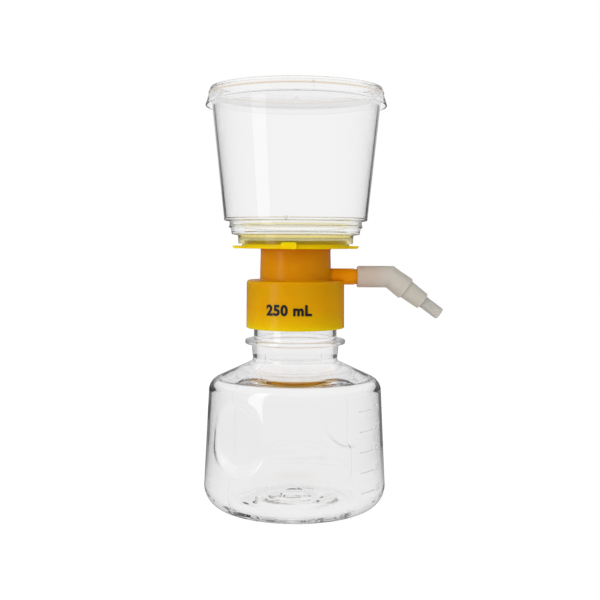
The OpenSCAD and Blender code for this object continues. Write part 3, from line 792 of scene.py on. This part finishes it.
def makeGates(look):
    # a small dome for each mark, laid on its piece
    for name, mark in look["marks"].items():
        azimuth, radius, height, wide, tall, rise, node, slot, body = mark
        flat, faces = dome(wide, tall, rise + look["sunk"], look)
        points = wrapped(flat, azimuth, height, lambda z: radius, 0)
        piece = addPiece(name, points, faces, finishes[node], body, 60.0)
    points, faces = dome(look["nubR"], look["nubR"], look["nubRise"], look)
    points = points + [0, 0, look["nubZ"]]
    piece = addPiece("lidNub", points, faces, finishes["lid"], "cover", 60.0)


makeGates(gateSet)


stageSet = {
    "floorSize": 60.0, "floorDrop": 0.0002, "paper": tone(246, 246, 246), "fill": 0.25,
    # lit share and glow of the floor that is seen, plainly and through plastic
    "floorDiffuse": 0.25, "floorGlow": 1.27, "throughDiffuse": 0.05, "throughGlow": 1.02,
    # share of white for rays thrown back once inside the plastic: on the floor from near to far,
    # in the room from the sides to the top
    "thrownToFloor": 0.92, "thrownFar": 0.0, "nearFloor": 0.08, "farFloor": 0.2,
    "thrownSideways": 0.6, "thrownUp": 0.95, "topFrom": 0.13, "topTo": 0.22,
    # the same for rays thrown back again, past many walls, and off the outside
    "twiceToFloor": 0.45, "twiceToRoom": 0.85, "wallCount": 3, "deepRoom": 0.92,
    "offToFloor": 0.05, "offToRoom": 0.4,
    "ambient": tone(250, 247, 244), "ambientStrength": 0.28,
    "aimZ": 0.11, "bounces": 32,
}


def whoSees(f, look, thrownShare, twiceShare, offShare):
    # 1 for camera, glossy and transmitted rays, and the share of white that they find: rays thrown
    # back inside clear plastic, or off it, find the dim room beside the background
    path = f.node("ShaderNodeLightPath")
    seen = path.out("Is Camera Ray").most(path.out("Is Glossy Ray"))
    seen = seen.most(path.out("Is Transmission Ray"))
    walls, thrown = path.out("Transmission Depth"), path.out("Glossy Depth")
    inside, count = walls.least(1), look["wallCount"]
    thrownShare = ramped(thrown, 1, 2) * (twiceShare - thrownShare) + thrownShare
    fewWalls = inside * (1 - ramped(walls, count, count + 1))
    lost = fewWalls * (look["deepRoom"] - thrownShare) + inside * (offShare - look["deepRoom"])
    return seen, 1 - thrown.least(1) * (lost + (1 - offShare))


def makeFloor(look):
    # a wide sheet just under the foot, lit as paper and seen as white
    half, z = look["floorSize"] / 2, -look["floorDrop"]
    mesh = bpy.data.meshes.new("floor")
    corners = [(-half, -half, z), (half, -half, z), (half, half, z), (-half, half, z)]
    mesh.from_pydata(corners, [], [(0, 1, 2, 3)])
    floor = bpy.data.objects.new("floor", mesh)
    bpy.context.scene.collection.objects.link(floor)
    material, f = newFinish("floorPaper")
    away = f.node("ShaderNodeVectorMath", {"operation": "LENGTH"}, {0: place(f)}, out=1)
    far = ramped(away, look["nearFloor"], look["farFloor"])
    thrown = far * (look["thrownFar"] - look["thrownToFloor"]) + look["thrownToFloor"]
    seen, shade = whoSees(f, look, thrown, look["twiceToFloor"], look["offToFloor"])
    through = f.node("ShaderNodeLightPath").out("Is Transmission Ray")
    strength = through * (look["throughGlow"] - look["floorGlow"]) + look["floorGlow"]
    share = through * (look["floorDiffuse"] - look["throughDiffuse"]) + (1 - look["floorDiffuse"])
    share = (seen * share).most(look["fill"])
    paper = f.node("ShaderNodeBsdfDiffuse", inputs={"Color": look["paper"]})
    glow = f.node("ShaderNodeEmission", inputs={"Strength": shade * strength})
    both = f.node("ShaderNodeMixShader", inputs={0: share, 1: paper, 2: glow})
    f.node("ShaderNodeOutputMaterial", inputs={"Surface": both})
    mesh.materials.append(material)


def makeWorld(look):
    # plain dim light on the object, white for rays that are seen
    world = bpy.data.worlds.new("studio")
    world.use_nodes = True
    f = Finish(world.node_tree)
    direction = f.node("ShaderNodeTexCoord").out("Generated")
    rise = f.node("ShaderNodeSeparateXYZ", inputs={"Vector": direction}).out("Z")
    above = ramped(rise, look["topFrom"], look["topTo"])
    thrown = above * (look["thrownUp"] - look["thrownSideways"]) + look["thrownSideways"]
    seen, shade = whoSees(f, look, thrown, look["twiceToRoom"], look["offToRoom"])
    room = f.node("ShaderNodeBackground", inputs={
        "Color": look["ambient"], "Strength": look["ambientStrength"]})
    white = f.node("ShaderNodeBackground", inputs={"Color": (1, 1, 1, 1), "Strength": shade})
    both = f.node("ShaderNodeMixShader", inputs={0: seen, 1: room, 2: white})
    f.node("ShaderNodeOutputWorld", inputs={"Surface": both})
    bpy.context.scene.world = world


lampSet = {
    # azimuth from the front towards +X, elevation, distance, width, height, watts, seen in gloss
    "key": (-50, 2, 0.5, 0.18, 1.0, 1.5, True),
    "front": (0, 20, 2.2, 2.0, 2.2, 21.5, False),
    "top": (10, 75, 1.2, 1.2, 1.2, 3.0, False),
}


def makeLamp(name, azimuth, elevation, distance, width, height, watts, inGloss):
    # a rectangle that faces the unit's middle from its azimuth and elevation
    aim = np.array([0, 0, stageSet["aimZ"]])
    a, e = math.radians(azimuth), math.radians(elevation)
    back = np.array([math.sin(a) * math.cos(e), -math.cos(a) * math.cos(e), math.sin(e)])
    lamp = bpy.data.lights.new(name, "AREA")
    lamp.shape, lamp.size, lamp.size_y, lamp.energy = "RECTANGLE", width, height, watts
    holder = bpy.data.objects.new(name, lamp)
    holder.visible_glossy, holder.visible_transmission = inGloss, False
    holder.location = aim + back * distance
    holder.rotation_euler = (math.radians(90 - elevation), 0, a)
    bpy.context.scene.collection.objects.link(holder)


makeFloor(stageSet)
makeWorld(stageSet)
for name, values in lampSet.items():
    makeLamp(name, *values)

cameraSet = {
    "lens": 60, "sensor": 36, "place": (0.0021, -0.4878, 0.1307), "down": 3.462, "roll": -0.3,
}
camera = bpy.data.objects.new("camera", bpy.data.cameras.new("camera"))
camera.data.lens, camera.data.sensor_width = cameraSet["lens"], cameraSet["sensor"]
camera.location = cameraSet["place"]
down, roll = cameraSet["down"], cameraSet["roll"]
camera.rotation_euler = (math.radians(90 - down), math.radians(roll), 0)
bpy.context.scene.collection.objects.link(camera)
bpy.context.scene.camera = camera
bpy.context.scene.view_settings.view_transform = "Standard"
paths = bpy.context.scene.cycles  # light is led a long way inside the clear walls
paths.max_bounces = paths.glossy_bounces = paths.transmission_bounces = stageSet["bounces"]
print("stage: floor, world, %d lamps, camera" % len(lampSet))
